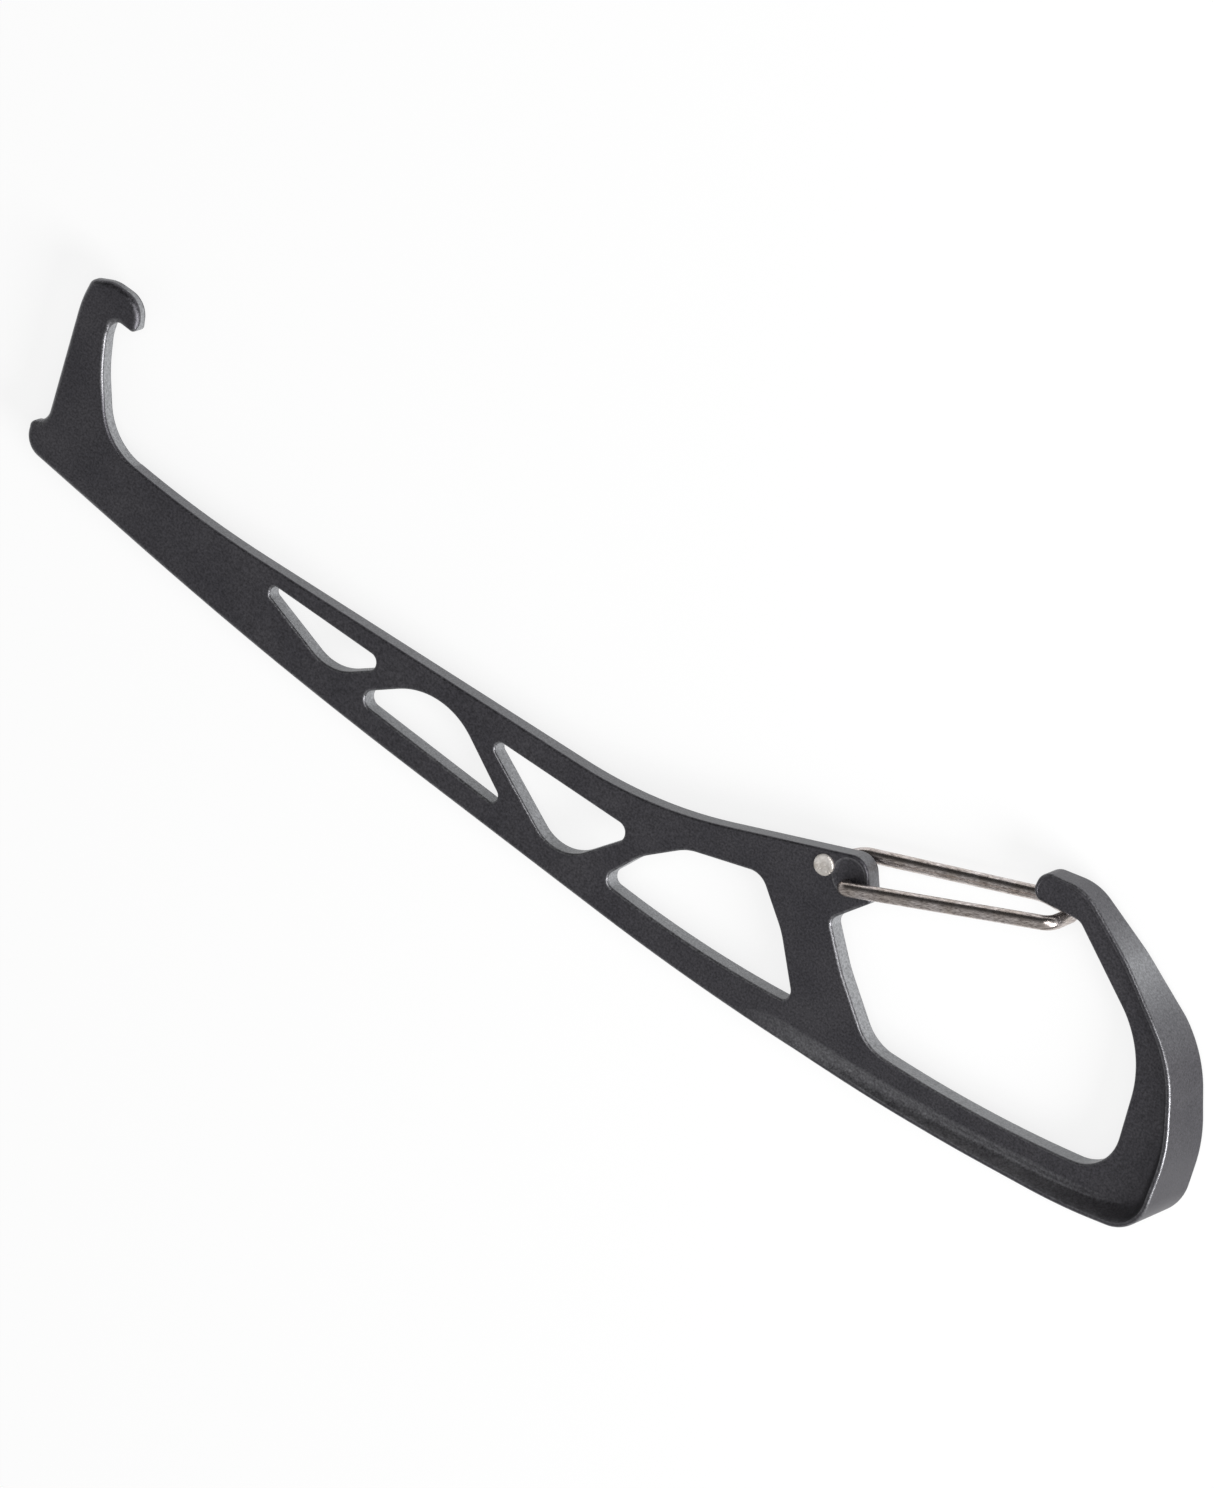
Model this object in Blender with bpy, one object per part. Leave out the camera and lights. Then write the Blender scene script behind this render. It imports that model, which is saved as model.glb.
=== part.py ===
"""Nut tool: a forged body with a hook, a lattice stem and a clip, and the clip's bent wire gate.

Sizes are in millimetres. The sketch frame has X along the spine towards the clip, Y towards the
gate and Z = 0 on the forging's mid-plane. The finished part is moved so that the middle of its
box is at X = Y = 0 and its lowest point is at Z = 0.
"""

import math

import bmesh
import bpy
from mathutils import Vector
from mathutils.geometry import delaunay_2d_cdt

MM = 0.001

# Plan of the forging, measured from the sketch frame's origin inside the stem
HOOK_SIDE_LENGTH = 118.0
CLIP_SIDE_LENGTH = 120.0
SPINE_DEPTH = 25.2
HEEL_DEPTH = 19.25
HOOK_HEIGHT = 14.9

# Hook: width of its shank at the top, and length and depth of the beak that hangs over the throat
SHANK_WIDTH = 6.6
BEAK_LENGTH = 11.25
BEAK_DEPTH = 5.25

# Rails that the windows and the clip leave along the forging's edges
STEM_RAIL_WIDTH = 4.4
TOP_RAIL_WIDTH = 4.2
CLIP_RAIL_WIDTH = 5.9
RIM_WIDTH = 6.6

# Web, which thins evenly from the clip to the hook
HOOK_END_THICKNESS = 2.85
CLIP_END_THICKNESS = 3.8

# Rounded outer edges: radius at the hook, along the stem and round the clip
HOOK_EDGE_RADIUS = 1.1
STEM_EDGE_RADIUS = 0.7
CLIP_EDGE_RADIUS = 0.4
WINDOW_EDGE_RADIUS = 0.4
EDGE_SHARE_OF_WALL = 0.85
INSET_SHARE_OF_BEND = 0.6

# Flange that widens the clip's outer rim into a striking edge
FLANGE_WIDTH = 12.6
FLANGE_START = 50.0
FLANGE_LAND_WIDTH = 0.4
FLARE_PER_RISE = 0.75

# Wire gate. Its ends turn in two holes, one each side of the pivot, which the wire's angle joins
WIRE_DIAMETER = 2.4
WIRE_CLEARANCE = 0.3
HOLE_CLEARANCE = 0.2
PIVOT_X = 45.7
PIVOT_Y = 6.5
NEAR_ARM_LENGTH = 3.2
FAR_ARM_LENGTH = 2.0
PIVOT_ANGLE = -8.0
GATE_TRAVEL = 30.0
BUTTON_OVERHANG = 0.6
BUTTON_HEIGHT = 0.4
BEND_INSIDE_RADIUS = 0.6

# Dished recess round each hole that makes room for the leg's bend
SCOOP_DEPTH = 0.5
NEAR_SCOOP_RADIUS = 3.1
NEAR_SCOOP_OFFSET = Vector((-0.45, 1.5))
FAR_SCOOP_RADIUS = 2.4
FAR_SCOOP_OFFSET = Vector((0.3, 0.5))

# Nose that the gate's crossbar rests under: its inner lower corner, and where the crossbar meets it
NOSE_X = 77.4
NOSE_Y = 24.05
NOSE_DEPTH = 5.1
NOSE_LENGTH = 9.4
NOSE_RISE = 1.55
CROSSBAR_SHARE = 0.65

# Fineness of the mesh
ARC_STEP = 11.0
CHORD_ERROR = 0.04
LONGEST_EDGE = 9.0
WIRE_SIDES = 14
WIRE_ARC_STEP = 13.0

wire_radius = WIRE_DIAMETER / 2
hook_x = -HOOK_SIDE_LENGTH
rim_x = CLIP_SIDE_LENGTH


def between(table, x):
    """The table's value at x, on the straight line between its two nearest rows."""
    for (x0, y0), (x1, y1) in zip(table, table[1:]):
        if x <= x1:
            return y0 + (y1 - y0) * max(0.0, (x - x0) / (x1 - x0))
    return table[-1][1]


def web_half(x):
    """Half the web's thickness at this X."""
    return between([(hook_x, HOOK_END_THICKNESS / 2), (rim_x, CLIP_END_THICKNESS / 2)], x)


# Plan corners, each with the radius that rounds it, anticlockwise from the heel
SPINE = [
    (hook_x + 0.15, -HEEL_DEPTH, 4.1),
    (-60.4, 1.05 - SPINE_DEPTH, 850.0),
    (36.6, -SPINE_DEPTH, 450.0),
    (77.0, 4.0 - SPINE_DEPTH, 350.0),
    (rim_x - 13.9, 9.25 - SPINE_DEPTH, 100.0),
    (rim_x + 0.85, 13.8 - SPINE_DEPTH, 7.6),
]
RIM = [
    (rim_x - 0.9, 3.3, 25.0),
    (rim_x - 7.5, 16.9, 22.0),
    (NOSE_X + 20.2, NOSE_Y + 1.65, 30.0),
    (NOSE_X + 8.3, NOSE_Y + NOSE_DEPTH + 1.95, 7.0),
    (NOSE_X + 0.05, NOSE_Y + NOSE_DEPTH, 2.7),
    (NOSE_X, NOSE_Y, 1.9),
    (NOSE_X + NOSE_LENGTH, NOSE_Y + NOSE_RISE, 2.2),
]
LUG = [
    (PIVOT_X + 8.0, PIVOT_Y - 0.5, 0.9),
    (PIVOT_X + 4.1, PIVOT_Y + 5.7, 3.2),
]
TOP_EDGE = [
    (12.0, -4.2, 85.0),
    (hook_x + 35.0, -11.1, 210.0),
    (hook_x + 14.75, -9.85, 11.5),
]
HOOK = [
    (hook_x + 8.7, 0.75, 25.0),
    (hook_x + SHANK_WIDTH + 0.1, 6.3, 8.0),
    (hook_x + SHANK_WIDTH, HOOK_HEIGHT - BEAK_DEPTH - 0.35, 1.7),
    (hook_x + BEAK_LENGTH, HOOK_HEIGHT - BEAK_DEPTH, 0.5),
    (hook_x + BEAK_LENGTH + 0.1, HOOK_HEIGHT, 4.6),
    (hook_x + 3.8, HOOK_HEIGHT, 6.0),
    (hook_x, HOOK_HEIGHT - 1.85, 1.7),
    (hook_x - 0.4, 9.2, 20.0),
    (hook_x + 3.0, 6.15 - HEEL_DEPTH, 2.9),
    (hook_x + 0.5, 4.6 - HEEL_DEPTH, 1.3),
]


def above_spine(x, rail, radius):
    """A corner that leaves this much rail over the spine's edge."""
    return (x, between([corner[:2] for corner in SPINE], x) + rail, radius)


def below_top(x, rail, radius):
    """A corner that leaves this much rail under the stem's top edge."""
    edge = sorted(corner[:2] for corner in TOP_EDGE + LUG[1:])
    return (x, between(edge, x) - rail, radius)


CLIP_INSIDE = [
    (rim_x - 7.15 - RIM_WIDTH, 13.75, 18.0),
    above_spine(rim_x - 3.2 - RIM_WIDTH, CLIP_RAIL_WIDTH + 0.8, 8.0),
    above_spine(85.9, CLIP_RAIL_WIDTH, 250.0),
    above_spine(PIVOT_X + 18.2, CLIP_RAIL_WIDTH + 1.3, 9.0),
    (PIVOT_X + 8.6, PIVOT_Y - 13.5, 25.0),
    (PIVOT_X + 2.85, PIVOT_Y - 7.15, 1.6),
]
WINDOWS = [
    [
        below_top(-65.2, TOP_RAIL_WIDTH - 1.7, 1.0),
        below_top(-64.9, TOP_RAIL_WIDTH + 0.35, 0.9),
        above_spine(-49.3, STEM_RAIL_WIDTH + 0.7, 8.5),
        below_top(-39.1, TOP_RAIL_WIDTH - 0.6, 1.5),
    ],
    [
        above_spine(-44.7, STEM_RAIL_WIDTH, 1.6),
        above_spine(-9.5, STEM_RAIL_WIDTH - 0.25, 1.2),
        below_top(-29.6, TOP_RAIL_WIDTH - 3.0, 13.5),
    ],
    [
        below_top(-17.0, TOP_RAIL_WIDTH + 0.05, 1.1),
        below_top(-16.8, TOP_RAIL_WIDTH + 1.9, 1.1),
        above_spine(1.3, STEM_RAIL_WIDTH - 1.65, 7.6),
        below_top(12.45, TOP_RAIL_WIDTH + 0.9, 1.7),
    ],
    [
        above_spine(9.6, STEM_RAIL_WIDTH + 0.75, 1.5),
        above_spine(30.0, STEM_RAIL_WIDTH + 0.7, 200.0),
        above_spine(PIVOT_X + 3.7, STEM_RAIL_WIDTH + 2.35, 1.6),
        below_top(PIVOT_X - 3.75, TOP_RAIL_WIDTH + 12.25, 15.0),
        below_top(PIVOT_X - 11.2, TOP_RAIL_WIDTH + 2.7, 3.8),
        below_top(21.1, TOP_RAIL_WIDTH + 1.5, 9.0),
        below_top(14.3, TOP_RAIL_WIDTH + 4.7, 12.0),
    ],
]
BODY_CORNERS = SPINE + RIM + CLIP_INSIDE + LUG + TOP_EDGE + HOOK
FIRST_INSIDE_CORNER = len(SPINE) + len(RIM) - 1

# Flange's share of its full rise, by the share of the rim's length from its start to the nose
FLANGE_RISE = [
    (0.0, 0.0),
    (0.18, 0.26),
    (0.36, 0.62),
    (0.51, 1.0),
    (0.61, 0.8),
    (0.71, 0.67),
    (0.77, 0.44),
    (0.86, 0.17),
    (0.94, 0.04),
    (1.0, 0.0),
]


def turn_at(corners, i):
    """(way back, way on, angle turned through) at a corner."""
    corner = Vector(corners[i][:2])
    back = (Vector(corners[i - 1][:2]) - corner).normalized()
    on = (Vector(corners[(i + 1) % len(corners)][:2]) - corner).normalized()
    return back, on, math.pi - back.angle(on)


def fitted_radii(corners):
    """The corners' radii, less where two bends would otherwise meet on the side between them."""
    reaches = []
    for i, (_, _, radius) in enumerate(corners):
        reaches.append(radius * math.tan(turn_at(corners, i)[2] / 2))
    shares = [1.0] * len(corners)
    for i, reach in enumerate(reaches):
        side = (Vector(corners[i][:2]) - Vector(corners[i - 1][:2])).length
        if reach + reaches[i - 1] > side:
            share = 0.98 * side / (reach + reaches[i - 1])
            shares[i] = min(shares[i], share)
            shares[i - 1] = min(shares[i - 1], share)
    return [radius * share for (_, _, radius), share in zip(corners, shares)]


def rounded(corners):
    """Points round the rounded corners: (point, corner number, radius that an inset may use)."""
    found = []
    for i, radius in enumerate(fitted_radii(corners)):
        corner = Vector(corners[i][:2])
        back, on, turn = turn_at(corners, i)
        convex = back.cross(on) < 0
        centre = corner + (back + on).normalized() * radius / math.cos(turn / 2)
        start = corner + back * radius * math.tan(turn / 2) - centre
        step = min(math.radians(ARC_STEP), 2 * math.acos(1 - min(1.0, CHORD_ERROR / radius)))
        count = max(1, math.ceil(turn / step))
        for k in range(count + 1):
            angle = turn * k / count * (1 if convex else -1)
            arm = Vector(
                (
                    start.x * math.cos(angle) - start.y * math.sin(angle),
                    start.x * math.sin(angle) + start.y * math.cos(angle),
                )
            )
            found.append((centre + arm, i, radius if convex else 1000.0))
    return found


def divided(outline):
    """The outline with points added so that no edge is too long."""
    found = []
    for i, (point, corner, radius) in enumerate(outline):
        following = outline[(i + 1) % len(outline)][0]
        count = max(1, math.ceil((following - point).length / LONGEST_EDGE))
        found.append((point, corner, radius))
        for k in range(1, count):
            found.append((point.lerp(following, k / count), corner, 1000.0))
    return found


def inward_normals(points):
    """Unit vectors into the area that the anticlockwise points go round."""
    found = []
    for i, point in enumerate(points):
        along = points[(i + 1) % len(points)] - points[i - 1]
        found.append(Vector((-along.y, along.x)).normalized())
    return found


def inset_limits(points, radii):
    """The deepest inset at each point that stays clear of the tight corners near it."""
    limits = [INSET_SHARE_OF_BEND * radius for radius in radii]
    for _ in range(2):
        for i in range(-1, len(points)):
            step = (points[i] - points[i - 1]).length
            limits[i] = min(limits[i], limits[i - 1] + 0.5 * step)
        for i in reversed(range(-1, len(points) - 1)):
            step = (points[i + 1] - points[i]).length
            limits[i] = min(limits[i], limits[i + 1] + 0.5 * step)
    return limits


def rim_shares(outline):
    """Each point's share of the rim's length, or None where it isn't on the rim."""
    lengths = []
    run = None
    for i, (point, corner, _) in enumerate(outline):
        if run is None and point.x >= FLANGE_START and corner < len(SPINE):
            run = 0.0
        elif run is not None and corner < FIRST_INSIDE_CORNER:
            run += (point - outline[i - 1][0]).length
        on_rim = run is not None and corner < FIRST_INSIDE_CORNER
        lengths.append(run if on_rim else None)
    whole = max(length for length in lengths if length is not None)
    return [None if length is None else length / whole for length in lengths]


def edge_radius(x):
    """Radius that rounds the outer edge at this X, within what the wall holds."""
    table = [
        (hook_x, HOOK_EDGE_RADIUS),
        (-60.0, STEM_EDGE_RADIUS),
        (30.0, STEM_EDGE_RADIUS),
        (70.0, CLIP_EDGE_RADIUS),
    ]
    return min(between(table, x), EDGE_SHARE_OF_WALL * web_half(x))


def body_rings():
    """The body's upper half as rings of (x, y, z), from the outer wall in to the web."""
    outline = divided(rounded(BODY_CORNERS))
    points = [point for point, _, _ in outline]
    normals = inward_normals(points)
    limits = inset_limits(points, [radius for _, _, radius in outline])
    shares = rim_shares(outline)
    rings = [[] for _ in range(8)]
    for point, normal, limit, share in zip(points, normals, limits, shares):
        radius = min(edge_radius(point.x), limit)
        full_rise = FLANGE_WIDTH / 2 - web_half(point.x)
        rise = 0.0 if share is None else full_rise * between(FLANGE_RISE, share)
        land = min(FLANGE_LAND_WIDTH, rise, max(0.0, limit - radius))
        flare = min(FLARE_PER_RISE * rise, max(0.0, limit - radius - land))
        sections = [(0.0, rise, radius), (0.29 * radius, rise, 0.29 * radius), (radius, rise, 0.0)]
        for share_in in (0.0, 0.2, 0.45, 0.72, 1.0):
            inset = radius + land + flare * share_in
            sections.append((inset, rise * (1 - share_in) ** 2, 0.0))
        for ring, (inset, lift, drop) in zip(rings, sections):
            place = point + normal * inset
            ring.append(Vector((place.x, place.y, web_half(place.x) + lift - drop)))
    return rings


def window_rings(corners):
    """A window's upper half as rings, from its wall out to the web."""
    points = [point for point, _, _ in divided(rounded(corners))]
    normals = inward_normals(points)
    radius = min(WINDOW_EDGE_RADIUS, EDGE_SHARE_OF_WALL * min(web_half(point.x) for point in points))
    rings = []
    for inset, drop in ((0.0, radius), (0.29 * radius, 0.29 * radius), (radius, 0.0)):
        ring = []
        for point, normal in zip(points, normals):
            place = point - normal * inset
            ring.append(Vector((place.x, place.y, web_half(place.x) - drop)))
        rings.append(ring)
    return rings


def inside(point, loop):
    """Whether the point is inside the loop, by the edges crossed on the way out."""
    crossed = False
    for a, b in zip(loop, loop[1:] + loop[:1]):
        if (a.y > point.y) != (b.y > point.y):
            if point.x < a.x + (b.x - a.x) * (point.y - a.y) / (b.y - a.y):
                crossed = not crossed
    return crossed


def web_triangles(loops):
    """Corner points of triangles that fill the first loop and leave the others open."""
    flat = [point.xy for loop in loops for point in loop]
    edges = []
    start = 0
    for loop in loops:
        count = len(loop)
        edges += [(start + i, start + (i + 1) % count) for i in range(count)]
        start += count
    points, _, faces, _, _, _ = delaunay_2d_cdt(flat, edges, [], 0, 1e-5)
    found = []
    for face in faces:
        centre = sum((points[i] for i in face), Vector((0.0, 0.0))) / 3
        if inside(centre, loops[0]) and not any(inside(centre, loop) for loop in loops[1:]):
            found.append([Vector((*points[i], web_half(points[i].x))) for i in face])
    return found


def add_band(bm, lower, upper):
    """Faces between two rings with the same number of points."""
    for i in range(len(lower)):
        k = (i + 1) % len(lower)
        bm.faces.new([lower[i], lower[k], upper[k], upper[i]])


def add_rings(bm, rings):
    """Bands over both halves and across the wall between them."""
    halves = []
    for side in (1, -1):
        halves.append([[bm.verts.new((p.x, p.y, side * p.z)) for p in ring] for ring in rings])
        for lower, upper in zip(halves[-1], halves[-1][1:]):
            add_band(bm, lower, upper)
    add_band(bm, halves[0][0], halves[1][0])


def object_from(bm, name, smooth_angle):
    """An object of the mesh, in metres, smooth except across edges sharper than the angle."""
    bmesh.ops.remove_doubles(bm, verts=bm.verts, dist=2e-4)
    bmesh.ops.dissolve_degenerate(bm, edges=bm.edges, dist=1e-5)
    bmesh.ops.recalc_face_normals(bm, faces=bm.faces)
    bmesh.ops.scale(bm, vec=(MM, MM, MM), verts=bm.verts)
    mesh = bpy.data.meshes.new(name)
    bm.to_mesh(mesh)
    bm.free()
    mesh.shade_smooth()
    mesh.set_sharp_from_angle(angle=math.radians(smooth_angle))
    made = bpy.data.objects.new(name, mesh)
    bpy.context.scene.collection.objects.link(made)
    return made


def make_body():
    bm = bmesh.new()
    outer = body_rings()
    windows = [window_rings(corners) for corners in WINDOWS]
    add_rings(bm, outer)
    for rings in windows:
        add_rings(bm, rings)
    for corners in web_triangles([outer[-1]] + [rings[-1] for rings in windows]):
        for side in (1, -1):
            bm.faces.new([bm.verts.new((p.x, p.y, side * p.z)) for p in corners])
    return object_from(bm, "forged_body", 40)


def prism(name, outline, low, high):
    """A cutter with this outline between two heights."""
    bm = bmesh.new()
    bottom = [bm.verts.new((x, y, low)) for x, y in outline]
    top = [bm.verts.new((x, y, high)) for x, y in outline]
    bm.faces.new(bottom)
    bm.faces.new(top)
    add_band(bm, bottom, top)
    return object_from(bm, name, 40)


def at_angle(degrees, length):
    """A plan vector of this length, turned by the angle from +X."""
    turn = math.radians(degrees)
    return length * Vector((math.cos(turn), math.sin(turn)))


def pivot_hole(arm_length, turned=0.0):
    """Middle of a hole at this signed distance from the pivot, where the gate has turned so far."""
    return Vector((PIVOT_X, PIVOT_Y)) + at_angle(PIVOT_ANGLE - turned, arm_length)


def slot_outline(arm_length):
    """A slot that a leg's end travels along, from the gate shut to the gate open."""
    half_width = wire_radius + HOLE_CLEARANCE
    steps = [k / 8 for k in range(9)]
    heading = PIVOT_ANGLE if arm_length > 0 else PIVOT_ANGLE + 180
    reach = abs(arm_length)
    pivot = Vector((PIVOT_X, PIVOT_Y))
    shut_end = [pivot_hole(arm_length) + at_angle(heading + 180 * k, half_width) for k in steps]
    turns = [heading - GATE_TRAVEL * k for k in steps[1:-1]]
    inner = [pivot + at_angle(turn, reach - half_width) for turn in turns]
    heading -= GATE_TRAVEL
    open_end = [
        pivot_hole(arm_length, GATE_TRAVEL) + at_angle(heading + 180 + 180 * k, half_width)
        for k in steps
    ]
    outer = [pivot + at_angle(turn, reach + half_width) for turn in reversed(turns)]
    return shut_end + inner + open_end + outer


def scoop(name, centre, mouth, side):
    """A shallow dished cutter that makes room for a leg's bend on one face."""
    radius = (mouth**2 + SCOOP_DEPTH**2) / (2 * SCOOP_DEPTH)
    height = side * (web_half(centre.x) + radius - SCOOP_DEPTH)
    bm = bmesh.new()
    bmesh.ops.create_uvsphere(bm, u_segments=48, v_segments=32, radius=radius)
    bmesh.ops.translate(bm, vec=(centre.x, centre.y, height), verts=bm.verts)
    return object_from(bm, name, 40)


def cut(target, cutter):
    modifier = target.modifiers.new(cutter.name, "BOOLEAN")
    modifier.operation = "DIFFERENCE"
    modifier.solver = "EXACT"
    modifier.object = cutter
    cutter.hide_render = True
    cutter.display_type = "WIRE"


def filleted_path(points, radii):
    """Points along the straight runs, with a circular bend at each inner point."""
    found = [points[0]]
    for i, radius in enumerate(radii, start=1):
        back = (points[i - 1] - points[i]).normalized()
        on = (points[i + 1] - points[i]).normalized()
        turn = math.pi - back.angle(on)
        centre = points[i] + (back + on).normalized() * radius / math.cos(turn / 2)
        start = points[i] + back * radius * math.tan(turn / 2) - centre
        count = max(2, math.ceil(math.degrees(turn) / WIRE_ARC_STEP))
        for k in range(count + 1):
            angle = turn * k / count
            found.append(centre + start * math.cos(angle) - back * radius * math.sin(angle))
    found.append(points[-1])
    return found


def swept_rings(bm, path, radii):
    """Rings of the wire square to its path, carried along it without twist."""
    side = Vector((1.0, 0.0, 0.0))
    rings = []
    for i, (point, radius) in enumerate(zip(path, radii)):
        before = point - path[i - 1] if i > 0 else path[1] - path[0]
        after = path[i + 1] - point if i + 1 < len(path) else before
        along = (before.normalized() + after.normalized()).normalized()
        side = (side - along * side.dot(along)).normalized()
        other = along.cross(side)
        ring = []
        for k in range(WIRE_SIDES):
            turn = 2 * math.pi * k / WIRE_SIDES
            arm = radius * (side * math.cos(turn) + other * math.sin(turn))
            ring.append(bm.verts.new(point + arm))
        rings.append(ring)
    return rings


def add_peened_end(bm, ring, end, outward):
    """A low button over the wire's end, wider than its hole. The ring is the wire's last one."""
    middle = sum((vert.co for vert in ring), Vector()) / len(ring)
    head = wire_radius + BUTTON_OVERHANG
    last = ring
    for reach, radius in ((0.0, head), (0.5 * BUTTON_HEIGHT, head), (BUTTON_HEIGHT, 0.72 * head)):
        following = []
        for vert in ring:
            arm = (vert.co - middle).normalized() * radius
            following.append(bm.verts.new(end + arm + outward * reach))
        add_band(bm, last, following)
        last = following
    bm.faces.new(last)


def make_gate():
    near_end = pivot_hole(NEAR_ARM_LENGTH)
    far_end = pivot_hole(-FAR_ARM_LENGTH)
    face = web_half(PIVOT_X + NEAR_ARM_LENGTH)
    leg_z = max(face, web_half(NOSE_X + NOSE_LENGTH)) + WIRE_CLEARANCE + wire_radius
    button_z = face + WIRE_CLEARANCE
    nose_start = Vector((NOSE_X, NOSE_Y))
    nose_end = nose_start + Vector((NOSE_LENGTH, NOSE_RISE))
    rest = nose_start.lerp(nose_end, CROSSBAR_SHARE) - Vector((0.0, wire_radius + WIRE_CLEARANCE))
    corners = [
        Vector((*near_end, -button_z)),
        Vector((*near_end, leg_z)),
        Vector((rest.x - 0.2, rest.y - 0.5, leg_z)),
        Vector((rest.x + 0.3, rest.y + 0.3, -leg_z)),
        Vector((NOSE_X + 0.1, NOSE_Y - 0.95, -leg_z)),
        Vector((far_end.x + 3.5, far_end.y + 3.2, -leg_z)),
        Vector((*far_end, -leg_z)),
        Vector((*far_end, button_z)),
    ]
    bend = wire_radius + BEND_INSIDE_RADIUS
    path = filleted_path(corners, [bend, bend, bend, 12.0, 6.0, bend])
    bm = bmesh.new()
    rings = swept_rings(bm, path, [wire_radius] * len(path))
    for ring, following in zip(rings, rings[1:]):
        add_band(bm, ring, following)
    up = Vector((0.0, 0.0, 1.0))
    add_peened_end(bm, rings[0], path[0], -up)
    add_peened_end(bm, rings[-1], path[-1], up)
    return object_from(bm, "wire_gate", 40)


def give_material(target, name, colour, metallic, roughness):
    material = bpy.data.materials.new(name)
    material.use_nodes = True
    shader = material.node_tree.nodes["Principled BSDF"]
    shader.inputs["Base Color"].default_value = (*colour, 1.0)
    shader.inputs["Metallic"].default_value = metallic
    shader.inputs["Roughness"].default_value = roughness
    target.data.materials.clear()
    target.data.materials.append(material)


def finished_shift():
    """The move from the sketch frame to the finished part's frame."""
    points = [point for point, _, _ in rounded(BODY_CORNERS)]
    xs = [point.x for point in points]
    ys = [point.y for point in points]
    return Vector((-(min(xs) + max(xs)) / 2, -(min(ys) + max(ys)) / 2, FLANGE_WIDTH / 2)) * MM


for leftover in list(bpy.data.objects):
    bpy.data.objects.remove(leftover)

body = make_body()
gate = make_gate()
deep = web_half(PIVOT_X) * 3
cutters = [
    prism("near_slot", slot_outline(NEAR_ARM_LENGTH), -deep, deep),
    prism("far_slot", slot_outline(-FAR_ARM_LENGTH), -deep, deep),
    scoop("near_scoop", pivot_hole(NEAR_ARM_LENGTH) + NEAR_SCOOP_OFFSET, NEAR_SCOOP_RADIUS, 1),
    scoop("far_scoop", pivot_hole(-FAR_ARM_LENGTH) + FAR_SCOOP_OFFSET, FAR_SCOOP_RADIUS, -1),
]
for cutter in cutters:
    cut(body, cutter)
give_material(body, "anodised_aluminium", (0.055, 0.053, 0.056), 0.85, 0.42)
give_material(gate, "stainless_wire", (0.32, 0.3, 0.28), 1.0, 0.3)

shift = finished_shift()
for made in [body, gate] + cutters:
    made.location = shift
hinge = bpy.data.objects.new("gate_hinge_line", None)
hinge.location = Vector((PIVOT_X * MM, PIVOT_Y * MM, 0.0)) + shift
bpy.context.scene.collection.objects.link(hinge)
gate.parent = hinge
gate.matrix_parent_inverse.translation = -hinge.location
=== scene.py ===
"""Looks of the nut tool: its forging, its bent wire gate and the peened buttons that hold the wire.

Lengths are in millimetres until a mesh is made. The drawing has X along the spine towards the clip,
Y towards the gate and Z = 0 on the forging's mid-plane.
"""

import math

import bmesh
import bpy
from mathutils import Matrix, Vector
from mathutils.geometry import delaunay_2d_cdt


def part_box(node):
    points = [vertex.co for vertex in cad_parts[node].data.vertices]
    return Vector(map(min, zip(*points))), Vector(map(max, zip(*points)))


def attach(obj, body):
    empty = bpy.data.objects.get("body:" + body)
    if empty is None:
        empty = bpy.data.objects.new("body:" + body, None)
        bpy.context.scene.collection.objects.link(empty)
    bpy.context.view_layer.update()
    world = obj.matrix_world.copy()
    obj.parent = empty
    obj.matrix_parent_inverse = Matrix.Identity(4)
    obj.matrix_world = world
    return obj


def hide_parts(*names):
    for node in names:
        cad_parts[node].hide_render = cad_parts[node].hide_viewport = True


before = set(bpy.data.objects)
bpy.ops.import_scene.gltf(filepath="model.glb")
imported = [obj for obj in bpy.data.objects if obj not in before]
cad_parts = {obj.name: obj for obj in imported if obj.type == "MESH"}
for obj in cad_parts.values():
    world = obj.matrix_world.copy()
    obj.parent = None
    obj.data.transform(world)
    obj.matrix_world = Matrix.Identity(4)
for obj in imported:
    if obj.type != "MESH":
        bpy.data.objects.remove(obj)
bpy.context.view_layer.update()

# Plan of the forging
# One blank of aluminium, hot forged between two dies and trimmed along this outline and round its
# windows. Each corner is a place in the drawing with the radius that the die and the trim give it.
HOOK_X = -118.0
RIM_X = 120.0
SPINE_DEPTH = 25.2
HEEL_DEPTH = 19.25
HOOK_HEIGHT = 14.9
SHANK_WIDTH = 6.6
BEAK_LENGTH = 11.25
BEAK_DEPTH = 5.25
STEM_RAIL = 4.4
TOP_RAIL = 4.2
CLIP_RAIL = 5.9
RIM_WIDTH = 6.6
HOOK_THICKNESS = 2.85
CLIP_THICKNESS = 3.8
PIVOT = Vector((45.7, 6.5))
NOSE = Vector((77.4, 24.05))
NOSE_DEPTH = 5.1
NOSE_END = NOSE + Vector((9.4, 1.55))
ARC_STEP = 4.0
ARC_CHORD = 0.004
LONGEST_EDGE = 4.0
BENDS_SHARE_OF_SIDE = 0.98
NO_BEND = 1000.0


def between(table, x):
    """The table's value at x, on the straight line between its two nearest rows."""
    for (x0, y0), (x1, y1) in zip(table, table[1:]):
        if x <= x1:
            return y0 + (y1 - y0) * max(0.0, (x - x0) / (x1 - x0))
    return table[-1][1]


def face_height(x):
    """Height of the flat face over the mid-plane: the blank thins evenly towards the hook."""
    return between([(HOOK_X, HOOK_THICKNESS / 2), (RIM_X, CLIP_THICKNESS / 2)], x)


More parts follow.
